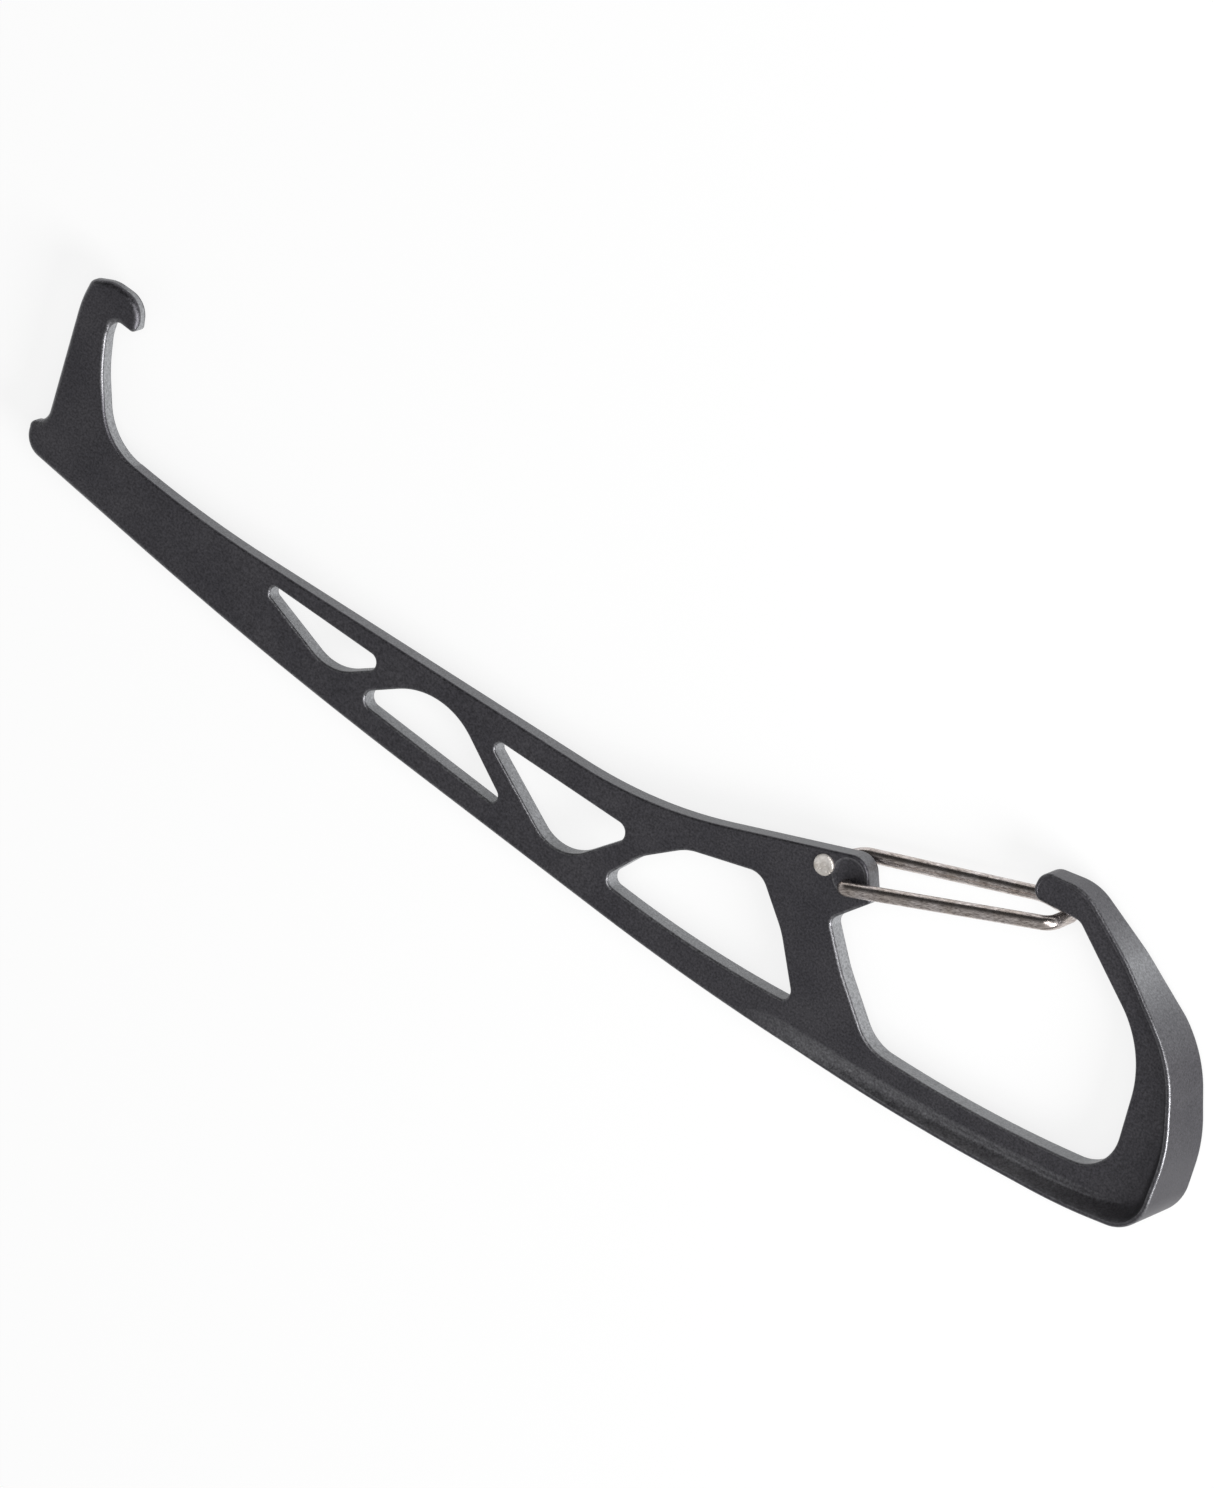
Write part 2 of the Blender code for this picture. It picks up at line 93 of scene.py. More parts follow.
SPINE = [
    (HOOK_X + 0.15, -HEEL_DEPTH, 4.1),
    (-60.4, 1.05 - SPINE_DEPTH, 850.0),
    (36.6, -SPINE_DEPTH, 450.0),
    (77.0, 4.0 - SPINE_DEPTH, 350.0),
    (RIM_X - 13.9, 9.25 - SPINE_DEPTH, 100.0),
    (RIM_X + 0.85, 13.8 - SPINE_DEPTH, 7.6),
]
RIM = [
    (RIM_X - 0.9, 3.3, 25.0),
    (RIM_X - 7.5, 16.9, 22.0),
    (NOSE.x + 20.2, NOSE.y + 1.65, 30.0),
    (NOSE.x + 8.3, NOSE.y + NOSE_DEPTH + 1.95, 9.0),
    (NOSE.x + 0.05, NOSE.y + NOSE_DEPTH, 2.7),
    (NOSE.x, NOSE.y, 1.9),
    (NOSE_END.x, NOSE_END.y, 2.2),
]
LUG = [
    (PIVOT.x + 8.0, PIVOT.y - 0.5, 0.9),
    (PIVOT.x + 4.1, PIVOT.y + 5.7, 3.2),
]
TOP_EDGE = [
    (12.0, -4.2, 85.0),
    (HOOK_X + 35.0, -11.1, 210.0),
    (HOOK_X + 14.75, -9.85, 11.5),
]
HOOK = [
    (HOOK_X + 8.7, 0.75, 25.0),
    (HOOK_X + SHANK_WIDTH + 0.1, 6.3, 8.0),
    (HOOK_X + SHANK_WIDTH, HOOK_HEIGHT - BEAK_DEPTH - 0.35, 1.7),
    (HOOK_X + BEAK_LENGTH, HOOK_HEIGHT - BEAK_DEPTH, 0.9),
    (HOOK_X + BEAK_LENGTH + 0.1, HOOK_HEIGHT, 4.6),
    (HOOK_X + 3.8, HOOK_HEIGHT, 6.0),
    (HOOK_X, HOOK_HEIGHT - 1.85, 1.7),
    (HOOK_X - 0.4, 9.2, 20.0),
    (HOOK_X + 3.0, 6.15 - HEEL_DEPTH, 2.9),
    (HOOK_X + 0.5, 4.6 - HEEL_DEPTH, 1.3),
]


def above_spine(x, rail, radius):
    """A corner that leaves this much rail over the spine's edge."""
    return (x, between([corner[:2] for corner in SPINE], x) + rail, radius)


def below_top(x, rail, radius):
    """A corner that leaves this much rail under the stem's top edge."""
    edge = sorted(corner[:2] for corner in TOP_EDGE + LUG[1:])
    return (x, between(edge, x) - rail, radius)


CLIP_INSIDE = [
    (RIM_X - 7.15 - RIM_WIDTH, 13.75, 18.0),
    above_spine(RIM_X - 3.2 - RIM_WIDTH, CLIP_RAIL + 0.8, 8.0),
    above_spine(85.9, CLIP_RAIL, 250.0),
    above_spine(PIVOT.x + 18.2, CLIP_RAIL + 1.3, 9.0),
    (PIVOT.x + 8.6, PIVOT.y - 13.5, 25.0),
    (PIVOT.x + 2.85, PIVOT.y - 7.15, 1.6),
]
WINDOWS = [
    [
        below_top(-65.2, TOP_RAIL - 1.7, 1.0),
        below_top(-64.9, TOP_RAIL + 0.35, 0.9),
        above_spine(-49.3, STEM_RAIL + 0.7, 8.5),
        below_top(-39.1, TOP_RAIL - 0.6, 1.5),
    ],
    [
        above_spine(-44.7, STEM_RAIL, 1.6),
        above_spine(-9.5, STEM_RAIL - 0.25, 1.2),
        below_top(-29.6, TOP_RAIL - 3.0, 13.5),
    ],
    [
        below_top(-17.0, TOP_RAIL + 0.05, 1.1),
        below_top(-16.8, TOP_RAIL + 1.9, 1.1),
        above_spine(1.3, STEM_RAIL - 1.65, 7.6),
        below_top(12.45, TOP_RAIL + 0.9, 1.7),
    ],
    [
        above_spine(9.6, STEM_RAIL + 0.75, 1.5),
        above_spine(30.0, STEM_RAIL + 0.7, 200.0),
        above_spine(PIVOT.x + 3.7, STEM_RAIL + 2.35, 1.6),
        below_top(PIVOT.x - 3.75, TOP_RAIL + 12.25, 15.0),
        below_top(PIVOT.x - 11.2, TOP_RAIL + 2.7, 3.8),
        below_top(21.1, TOP_RAIL + 1.5, 9.0),
        below_top(14.3, TOP_RAIL + 4.7, 12.0),
    ],
]
FORGING_CORNERS = SPINE + RIM + CLIP_INSIDE + LUG + TOP_EDGE + HOOK
FIRST_INSIDE_CORNER = len(SPINE) + len(RIM) - 1
FIRST_LUG_CORNER = len(SPINE) + len(RIM) + len(CLIP_INSIDE)
FIRST_HOOK_CORNER = FIRST_LUG_CORNER + len(LUG) + len(TOP_EDGE)


def turn_at(corners, i):
    """(way back, way on, angle turned through) at a corner."""
    corner = Vector(corners[i][:2])
    back = (Vector(corners[i - 1][:2]) - corner).normalized()
    on = (Vector(corners[(i + 1) % len(corners)][:2]) - corner).normalized()
    return back, on, math.pi - back.angle(on)


def fitted_radii(corners):
    """The corners' radii, less where two bends would otherwise meet on the side between them."""
    reaches = [radius * math.tan(turn_at(corners, i)[2] / 2) for i, (_, _, radius) in enumerate(corners)]
    shares = [1.0] * len(corners)
    for i, reach in enumerate(reaches):
        side = (Vector(corners[i][:2]) - Vector(corners[i - 1][:2])).length
        if reach + reaches[i - 1] > side:
            share = BENDS_SHARE_OF_SIDE * side / (reach + reaches[i - 1])
            shares[i] = min(shares[i], share)
            shares[i - 1] = min(shares[i - 1], share)
    return [radius * share for (_, _, radius), share in zip(corners, shares)]


def rounded(corners):
    """Points round the rounded corners: (point, corner number, radius that an inset may use)."""
    found = []
    for i, radius in enumerate(fitted_radii(corners)):
        corner = Vector(corners[i][:2])
        back, on, turn = turn_at(corners, i)
        convex = back.cross(on) < 0
        centre = corner + (back + on).normalized() * radius / math.cos(turn / 2)
        start = corner + back * radius * math.tan(turn / 2) - centre
        step = min(math.radians(ARC_STEP), 2 * math.acos(1 - min(1.0, ARC_CHORD / radius)))
        count = max(2, math.ceil(turn / step))
        for k in range(count + 1):
            turned = Matrix.Rotation(turn * k / count * (1 if convex else -1), 2)
            found.append((centre + turned @ start, i, radius if convex else NO_BEND))
    return found


def divided(outline):
    """The outline with points added so that no edge is too long."""
    found = []
    for i, (point, corner, radius) in enumerate(outline):
        following = outline[(i + 1) % len(outline)][0]
        count = max(1, math.ceil((following - point).length / LONGEST_EDGE))
        found.append((point, corner, radius))
        for k in range(1, count):
            found.append((point.lerp(following, k / count), corner, NO_BEND))
    return found


def inward_normals(points):
    """Unit vectors into the area that the anticlockwise points go round."""
    found = []
    for i, point in enumerate(points):
        along = points[(i + 1) % len(points)] - points[i - 1]
        found.append(Vector((-along.y, along.x)).normalized())
    return found


# Section through the forging
# The dies meet on the mid-plane, so each side is the same: a trimmed wall, a rounded edge and the
# flat face. Round the clip the edge sweeps up into a flange, wide enough to hit with a rock.
FLANGE_WIDTH = 12.6
FLANGE_START = 50.0
FLANGE_LAND = 0.4
FLARE_PER_RISE = 0.75
FLARE_STEPS = 12
EDGE_STEPS = 6
EDGE_SHARE_OF_HALF = 0.85
FACE_BORDER = 0.1
WINDOW_EDGE = 0.4
# Shares of the painted sheen on the outer walls, the rim's changing with height.
OUTSIDE_WALL_SHEEN = 0.5
RIM_WALL_SHEEN = [(15.0, 0.0), (20.0, 0.25), (NOSE.y + 1.0, 0.8), (NOSE.y + NOSE_DEPTH, 0.2)]
HOOK_INSIDE_EDGE = 0.55
TOP_EDGE_RADIUS = 0.42
# The flange's land is paler: wear with a painted highlight along the flange's edge.
LAND_WEAR_AND_HIGHLIGHT = 0.6
LAND_WEAR_AND_HIGHLIGHT_FADE = 6
# Little of the paler edge mark, wear with painted highlight, along the stem's top and the beak's.
TOP_EDGE_WEAR_AND_HIGHLIGHT = 0.1
GROOVE_DEPTH = 0.14
GROOVE_STEPS = 4
# Painted highlight in the groove and on the ridge along the clip's lower rail.
GROOVE_PAINTED_HIGHLIGHT = 0.85
RIDGE_PAINTED_HIGHLIGHT = 0.75
RIDGE_INSET = 3.2
RIDGE_SHARE = 0.35
RIDGE_FOOT = 0.5
RIDGE_SPREAD = 2.5
RIDGE_FADE_IN = [(40.0, 0.0), (56.0, 1.0)]
RIDGE_FADE_OUT = [(0.32, 1.0), (0.45, 0.0)]
INSET_SHARE = 0.6
INSET_SLOPE = 0.5
EDGE_RADIUS = [(HOOK_X, 1.1), (-60.0, 0.7), (30.0, 0.6), (70.0, 0.4)]
FLANGE_RISE = [
    (0.0, 0.0),
    (0.18, 0.26),
    (0.36, 0.62),
    (0.51, 1.0),
    (0.61, 0.8),
    (0.71, 0.67),
    (0.77, 0.44),
    (0.86, 0.17),
    (0.94, 0.04),
    (1.0, 0.0),
]
INSIDE_CLIP = range(FIRST_INSIDE_CORNER, FIRST_LUG_CORNER)
TOP_OF_STEM = range(FIRST_LUG_CORNER, FIRST_HOOK_CORNER)
MIDDLE_OF_TOP = range(FIRST_LUG_CORNER + 1, FIRST_HOOK_CORNER - 1)
INSIDE_HOOK = range(FIRST_HOOK_CORNER - 1, FIRST_HOOK_CORNER + 5)
FOOT_OF_HOOK = range(FIRST_HOOK_CORNER - 1, FIRST_HOOK_CORNER + 2)
TOP_OF_BEAK = range(FIRST_HOOK_CORNER + 4, FIRST_HOOK_CORNER + 6)


def inset_limits(points, radii):
    """The deepest inset at each point that stays clear of the tight corners near it."""
    limits = [INSET_SHARE * radius for radius in radii]
    for _ in range(2):
        for i in range(-1, len(points)):
            step = (points[i] - points[i - 1]).length
            limits[i] = min(limits[i], limits[i - 1] + INSET_SLOPE * step)
        for i in reversed(range(-1, len(points) - 1)):
            step = (points[i + 1] - points[i]).length
            limits[i] = min(limits[i], limits[i + 1] + INSET_SLOPE * step)
    return limits


def rim_shares(outline):
    """Each point's share of the rim's length, or None where it isn't on the rim."""
    lengths = []
    run = None
    for i, (point, corner, _) in enumerate(outline):
        if run is None and point.x >= FLANGE_START and corner < len(SPINE):
            run = 0.0
        elif run is not None and corner < FIRST_INSIDE_CORNER:
            run += (point - outline[i - 1][0]).length
        on_rim = run is not None and corner < FIRST_INSIDE_CORNER
        lengths.append(run if on_rim else None)
    whole = max(length for length in lengths if length is not None)
    return [None if length is None else length / whole for length in lengths]


def quarter_round(radius):
    """(inset, drop, edge wear with painted highlight, painted wall sheen) over the rounded edge, from
    the wall to the face.
    """
    found = []
    for k in range(EDGE_STEPS + 1):
        angle = math.pi / 2 * k / EDGE_STEPS
        inset = radius * (1 - math.cos(angle))
        drop = radius * (1 - math.sin(angle))
        found.append((inset, drop, math.sin(2 * angle), float(k == 0)))
    return found


def wall_sheen_share(point, corner):
    """How strongly the painted sheen shows on the outer wall here: most inside the clip and the hook."""
    if corner in INSIDE_CLIP or corner in INSIDE_HOOK:
        return 1.0
    return between(RIM_WALL_SHEEN, point.y) if corner < FIRST_INSIDE_CORNER else OUTSIDE_WALL_SHEEN


def wear_and_highlight_share(corner):
    """How strongly the paler edge mark, wear with painted highlight, shows here: little on the stem's
    top and the beak's.
    """
    return TOP_EDGE_WEAR_AND_HIGHLIGHT if corner in TOP_OF_STEM or corner in TOP_OF_BEAK else 1.0


def ridge_strength(point, corner, share):
    """How fully the groove and its ridge show at a point: only along the clip's lower rail."""
    if corner >= len(SPINE):
        return 0.0
    fade_out = 1.0 if share is None else between(RIDGE_FADE_OUT, share)
    return between(RIDGE_FADE_IN, point.x) * fade_out


def bend_for_inset(corner, radius):
    """The bend's radius that limits the inset, less along the top and in the hook: sharper edges."""
    if corner in MIDDLE_OF_TOP:
        return min(radius, TOP_EDGE_RADIUS / INSET_SHARE)
    if corner in FOOT_OF_HOOK:
        return min(radius, HOOK_INSIDE_EDGE / INSET_SHARE)
    return radius


def outer_sections(point, corner, limit, share):
    """(inset, height over the face, edge wear with painted highlight, painted wall sheen) at one point,
    from the wall inwards.
    """
    radius = min(between(EDGE_RADIUS, point.x), EDGE_SHARE_OF_HALF * face_height(point.x), limit)
    full_rise = FLANGE_WIDTH / 2 - face_height(point.x)
    rise = 0.0 if share is None else full_rise * between(FLANGE_RISE, share)
    land = min(FLANGE_LAND, rise, max(0.0, limit - radius))
    flare = min(FLARE_PER_RISE * rise, max(0.0, limit - radius - land))
    strength = ridge_strength(point, corner, share)
    spread = min(1.0, RIDGE_SPREAD * strength)
    width = max(0.0, min(RIDGE_INSET, limit) - radius - land)
    sweep = flare + ((1 - RIDGE_SHARE) * width - flare) * spread
    crest = RIDGE_SHARE * width * spread
    sunk = GROOVE_DEPTH * strength
    wear_and_highlight_here = wear_and_highlight_share(corner)
    wall_sheen = wall_sheen_share(point, corner)
    sections = []
    for inset, drop, wear_and_highlight, wall in quarter_round(radius):
        sections.append((inset, rise - drop, wear_and_highlight_here * wear_and_highlight, wall_sheen * wall))
    for k in range(FLARE_STEPS + 1):
        along = k / FLARE_STEPS
        # Land: wear with painted highlight. Groove: painted highlight, which also lightens its shade.
        land_wear_and_highlight = LAND_WEAR_AND_HIGHLIGHT * (1 - LAND_WEAR_AND_HIGHLIGHT_FADE * along) * min(1.0, rise)
        wear_and_highlight = max(land_wear_and_highlight, GROOVE_PAINTED_HIGHLIGHT * strength)
        lift = (rise + sunk) * (1 - along) ** 2 - sunk
        sections.append((radius + land + sweep * along, lift, wear_and_highlight, 0.0))
    for k in range(1, GROOVE_STEPS + 1):
        along = k / GROOVE_STEPS
        # Painted highlight down the groove and up the ridge.
        wear_and_highlight = between([(0.0, GROOVE_PAINTED_HIGHLIGHT), (1.0, RIDGE_PAINTED_HIGHLIGHT)], along) * strength
        lift = -sunk * (1 + math.cos(math.pi * along)) / 2
        sections.append((radius + land + sweep + crest * along, lift, wear_and_highlight, 0.0))
    border = FACE_BORDER + RIDGE_FOOT * strength
    sections.append((radius + land + sweep + crest + border, 0.0, 0.0, 0.0))
    return sections


def outer_rings():
    """The upper half's outer edge as rings of (point, wear with painted highlight, painted wall sheen),
    from the wall in to the face.
    """
    outline = divided(rounded(FORGING_CORNERS))
    points = [point for point, _, _ in outline]
    normals = inward_normals(points)
    limits = inset_limits(points, [bend_for_inset(corner, radius) for _, corner, radius in outline])
    columns = []
    for (point, corner, _), normal, limit, share in zip(outline, normals, limits, rim_shares(outline)):
        column = []
        for inset, lift, wear_and_highlight, wall in outer_sections(point, corner, limit, share):
            place = point + normal * inset
            column.append((Vector((*place, face_height(place.x) + lift)), wear_and_highlight, wall))
        columns.append(column)
    return [list(ring) for ring in zip(*columns)]


def window_rings(corners):
    """A window's upper half as rings, from its wall out to the face."""
    points = [point for point, _, _ in divided(rounded(corners))]
    normals = inward_normals(points)
    # The window walls get the full painted sheen.
    sections = quarter_round(WINDOW_EDGE) + [(WINDOW_EDGE + FACE_BORDER, 0.0, 0.0, 0.0)]
    rings = []
    for inset, drop, wear_and_highlight, wall in sections:
        places = [point - normal * inset for point, normal in zip(points, normals)]
        rings.append([(Vector((*place, face_height(place.x) - drop)), wear_and_highlight, wall) for place in places])
    return rings


# Near leg's seat in the lug
# A dished recess milled round the leg's hole makes room for its bend. The leg turns close over it, so
# the hole itself, plugged by the wire, isn't cut.
RECESS_DEPTH = 0.55
RECESS_MIDDLE = PIVOT + Vector((2.7, 1.1))
RECESS_RADIUS = 3.15
RECESS_SIDES = 72
RECESS_STEPS = 8
RECESS_BORDER = 0.08


def at_angle(degrees, length):
    """A plan vector of this length, turned by the angle from +X."""
    turn = math.radians(degrees)
    return length * Vector((math.cos(turn), math.sin(turn)))


def near_recess_rings():
    """The recess's rings, from a flat border on the face down to the middle of its floor."""
    sections = [(RECESS_RADIUS + RECESS_BORDER, 0.0, 0.0)]
    # The recess's rim gets the paler edge mark as a painted highlight.
    for k in range(RECESS_STEPS + 1):
        share = 1 - k / RECESS_STEPS
        sections.append((RECESS_RADIUS * share, RECESS_DEPTH * (1 - share**2), float(k == 0)))
    rings = []
    for radius, depth, wear_and_highlight in sections:
        places = [RECESS_MIDDLE + at_angle(360 * i / RECESS_SIDES, radius) for i in range(RECESS_SIDES)]
        rings.append([(Vector((*place, face_height(place.x) - depth)), wear_and_highlight, 0.0) for place in places])
    return rings


# Forging
# Hard-anodised aluminium: a dark grey oxide skin, satin from the blasting before it, a little paler and
# smoother where the edges rub, with painted highlights on them and a painted sheen on the walls. It is
# one piece, and it carries everything else.
MM = 0.001
WELD_GAP = 2e-4
NO_LENGTH = 1e-5

low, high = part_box("forged_body")
plan = [point for point, _, _ in rounded(FORGING_CORNERS)]
plan_middle = Vector(
    (
        (min(point.x for point in plan) + max(point.x for point in plan)) / 2,
        (min(point.y for point in plan) + max(point.y for point in plan)) / 2,
        0.0,
    )
)
drawing_place = (low + high) / 2 - plan_middle * MM


def inside(point, loop):
    """Whether the point is inside the loop, by the edges crossed on the way out."""
    crossed = False
    for (a, *_), (b, *_) in zip(loop, loop[1:] + loop[:1]):
        if (a.y > point.y) != (b.y > point.y):
            if point.x < a.x + (b.x - a.x) * (point.y - a.y) / (b.y - a.y):
                crossed = not crossed
    return crossed


def face_triangles(loops):
    """Corner points of triangles that fill the first loop and leave the others open."""
    flat = [point.xy for loop in loops for point, *_ in loop]
    edges = []
    start = 0
    for loop in loops:
        count = len(loop)
        edges += [(start + i, start + (i + 1) % count) for i in range(count)]
        start += count
    points, _, faces, _, _, _ = delaunay_2d_cdt(flat, edges, [], 0, NO_LENGTH)
    found = []
    for face in faces:
        centre = sum((points[i] for i in face), Vector((0.0, 0.0))) / 3
        if inside(centre, loops[0]) and not any(inside(centre, loop) for loop in loops[1:]):
            found.append([Vector((*points[i], face_height(points[i].x))) for i in face])
    return found


def add_band(bm, lower, upper):
    """Faces between two rings with the same number of points."""
    for i in range(len(lower)):
        k = (i + 1) % len(lower)
        bm.faces.new([lower[i], lower[k], upper[k], upper[i]])


def add_rings(bm, rings, side):
    """Bands between the rings on one side of the mid-plane, and the rings' vertices."""
    # Per vertex: the paler edge mark, which is wear with painted highlight, and the painted wall sheen.
    wear_and_highlight_layer = bm.verts.layers.float["edge_wear_and_highlight"]
    wall_sheen_layer = bm.verts.layers.float["painted_wall_sheen"]
    made = []
    for ring in rings:
        made.append([])
        for point, wear_and_highlight, wall in ring:
            vert = bm.verts.new((point.x, point.y, side * point.z))
            vert[wear_and_highlight_layer] = wear_and_highlight
            vert[wall_sheen_layer] = wall
            made[-1].append(vert)
    for lower, upper in zip(made, made[1:]):
        add_band(bm, lower, upper)
    return made


def object_from(bm, name, smooth_angle=40.0):
    """An object of the mesh, in metres and in the row's frame, smooth except across sharp edges."""
    bmesh.ops.remove_doubles(bm, verts=bm.verts, dist=WELD_GAP)
    bmesh.ops.dissolve_degenerate(bm, edges=bm.edges, dist=NO_LENGTH)
    bmesh.ops.recalc_face_normals(bm, faces=bm.faces)
    bmesh.ops.scale(bm, vec=(MM, MM, MM), verts=bm.verts)
    bmesh.ops.translate(bm, vec=drawing_place, verts=bm.verts)
    mesh = bpy.data.meshes.new(name)
    bm.to_mesh(mesh)
    bm.free()
    mesh.shade_smooth()
    mesh.set_sharp_from_angle(angle=math.radians(smooth_angle))
    made = bpy.data.objects.new(name, mesh)
    bpy.context.scene.collection.objects.link(made)
    return made


def keep_faces_flat(target):
    """Shades the large flat faces flat, and leaves the turn to the small faces of the rounded edges."""
    weighted = target.modifiers.new("flat_faces_stay_flat", "WEIGHTED_NORMAL")
    weighted.keep_sharp = True


def make_forging():
    bm = bmesh.new()
    # Marks for the finish: the paler edge mark, wear with painted highlight, and the painted wall sheen.
    bm.verts.layers.float.new("edge_wear_and_highlight")
    bm.verts.layers.float.new("painted_wall_sheen")
    outer = outer_rings()
    windows = [window_rings(corners) for corners in WINDOWS]
    recess = near_recess_rings()
    add_rings(bm, recess, 1)
    walls = [[], []]
    for side in (1, -1):
        for rings in [outer] + windows:
            walls[side < 0].append(add_rings(bm, rings, side)[0])
        loops = [rings[-1] for rings in [outer] + windows]
        if side > 0:
            loops.append(recess[0])
        for corners in face_triangles(loops):
            bm.faces.new([bm.verts.new((p.x, p.y, side * p.z)) for p in corners])
    for upper, lower in zip(*walls):
        add_band(bm, upper, lower)
    return object_from(bm, "forging")


# Far leg's seat
# A smaller dish of the same depth in the lower face, milled round the far leg's hole. It runs out
# through the top edge, so it is cut from the finished forging.
PIVOT_ANGLE = -8.0
FAR_ARM = 2.0
FAR_RECESS_RADIUS = 2.4
FAR_RECESS_OFFSET = Vector((0.3, 0.5))
BALL_SIDES = 96
BALL_RINGS = 64


def leg_end(arm):
    """Middle of a leg's end, at this signed distance from the pivot."""
    return PIVOT + at_angle(PIVOT_ANGLE, arm)


def cut_far_recess(target):
    """Cuts the dish with a ball, and leaves the target as a plain mesh with no cutter."""
    centre = leg_end(-FAR_ARM) + FAR_RECESS_OFFSET
    radius = (FAR_RECESS_RADIUS**2 + RECESS_DEPTH**2) / (2 * RECESS_DEPTH)
    bm = bmesh.new()
    place = Matrix.Translation((*centre, RECESS_DEPTH - radius - face_height(centre.x)))
    counts = {"u_segments": BALL_SIDES, "v_segments": BALL_RINGS}
    bmesh.ops.create_uvsphere(bm, radius=radius, matrix=place, **counts)
    ball = object_from(bm, "far_recess_cutter")
    modifier = target.modifiers.new("far_recess", "BOOLEAN")
    modifier.operation = "DIFFERENCE"
    modifier.solver = "EXACT"
    modifier.object = ball
    ready = target.evaluated_get(bpy.context.evaluated_depsgraph_get())
    cut_mesh = bpy.data.meshes.new_from_object(ready)
    target.modifiers.clear()
    target.data = cut_mesh
    bpy.data.objects.remove(ball)


# Anodised finish
# The skin's cloudy grey, its blasted grain, the paler metal of rubbed edges that also carries painted
# highlights, and a painted sheen on the walls. The grain is a shader group that the wire and the buttons
# use too.
SKIN_DARK = (0.068, 0.066, 0.075)
SKIN_PALE = (0.088, 0.085, 0.094)
# Paler metal of rubbed edges, which also carries painted highlights; below it the painted wall sheen's
# colour.
RUBBED_AND_HIGHLIT_METAL = (0.24, 0.24, 0.25)
WALL_SHEEN_METAL = (0.24, 0.245, 0.255)
SPECKLE_DARK = (0.62, 0.62, 0.62)
SPECKLE_PALE = (1.38, 1.38, 1.38)
SKIN_METALLIC = 0.85
# Less metallic under the painted wall sheen.
WALL_SHEEN_METALLIC = 0.35
SMOOTH_SKIN = 0.36
ROUGH_SKIN = 0.5
RUBBED_AND_HIGHLIT_SMOOTHER = 0.08
SKIN_GRAINS_PER_MM = 2.6
SKIN_CLOUDS_PER_MM = 0.12
SKIN_BUMP = 0.7
SKIN_BUMP_HEIGHT = 0.06
# Strength and patch size of the edge mark: wear with painted highlight.
RUB_AND_HIGHLIGHT_STRENGTH = 0.8
RUB_AND_HIGHLIGHT_PATCHES_PER_MM = 0.5


def new_group(name, inputs, outputs):
    """An empty shader node group of plain numbers: (group, its input node, its output node)."""
    group = bpy.data.node_groups.new(name, "ShaderNodeTree")
    for title, value in inputs:
        socket = group.interface.new_socket(title, in_out="INPUT", socket_type="NodeSocketFloat")
        socket.default_value = value
    for title in outputs:
        group.interface.new_socket(title, in_out="OUTPUT", socket_type="NodeSocketFloat")
    return group, group.nodes.new("NodeGroupInput"), group.nodes.new("NodeGroupOutput")


def node(tree, kind, links=(), **settings):
    """A new node with its settings, and with each (input, socket) of links joined."""
    made = tree.nodes.new("ShaderNode" + kind)
    for title, value in settings.items():
        if hasattr(made, title):
            setattr(made, title, value)
        else:
            made.inputs[title].default_value = value
    for title, socket in links:
        tree.links.new(socket, made.inputs[title])
    return made


def ramp(tree, socket, low, high, from_value=0.0, to_value=1.0):
    """The socket's range from low to high, spread over another range and clamped."""
    made = node(tree, "MapRange", [("Value", socket)])
    made.inputs["From Min"].default_value = low
    made.inputs["From Max"].default_value = high
    made.inputs["To Min"].default_value = from_value
    made.inputs["To Max"].default_value = to_value
    return made.outputs["Result"]


def mixed(tree, factor, first, second):
    """A colour between two colours, by a socket."""
    made = node(tree, "Mix", data_type="RGBA")
    tree.links.new(factor, made.inputs[0])
    made.inputs[6].default_value = (*first, 1.0)
    made.inputs[7].default_value = (*second, 1.0)
    return made.outputs[2]


def painted_over(tree, factor, socket, colour):
    """The socket's colour, turned into another colour by a factor."""
    made = node(tree, "Mix", [(0, factor), (6, socket)], data_type="RGBA")
    made.inputs[7].default_value = (*colour, 1.0)
    return made.outputs[2]


def multiplied(tree, first, second):
    """Two colour sockets multiplied."""
    made = node(tree, "Mix", [(6, first), (7, second)], data_type="RGBA", blend_type="MULTIPLY")
    made.inputs[0].default_value = 1.0
    return made.outputs[2]


def in_millimetres(tree):
    """The object's own coordinates in millimetres."""
    where = node(tree, "TexCoord")
    scaled = node(tree, "VectorMath", [(0, where.outputs["Object"])], operation="SCALE")
    scaled.inputs["Scale"].default_value = 1 / MM
    return scaled.outputs[0]


def noise(tree, place, scale, detail, roughness):
    """Noise about one half, at a place and scale that are sockets."""
    links = [("Vector", place), ("Scale", scale)]
    return node(tree, "TexNoise", links, Detail=detail, Roughness=roughness).outputs["Fac"]


def make_blasted_group():
    """Blasted metal: fine grain, its height, and slow cloudy change, all in the object's millimetres."""
    group, given, result = new_group(
        "blasted_metal",
        [("Grain Per Millimetre", 3.0), ("Cloud Per Millimetre", 0.12)],
        ["Grain", "Cloud", "Height"],
    )
    place = in_millimetres(group)
    grain = noise(group, place, given.outputs[0], 3.0, 0.6)
    cloud = noise(group, place, given.outputs[1], 4.0, 0.5)
    pits = node(group, "TexVoronoi", [("Vector", place), ("Scale", given.outputs[0])])
    pit_depth = ramp(group, pits.outputs["Distance"], 0.0, 0.35)
    height = node(group, "Math", [(0, grain), (1, pit_depth)], operation="MULTIPLY")
    group.links.new(ramp(group, grain, 0.3, 0.7), result.inputs["Grain"])
    group.links.new(ramp(group, cloud, 0.3, 0.7), result.inputs["Cloud"])
    group.links.new(height.outputs[0], result.inputs["Height"])
    return group


blasted_metal = make_blasted_group()


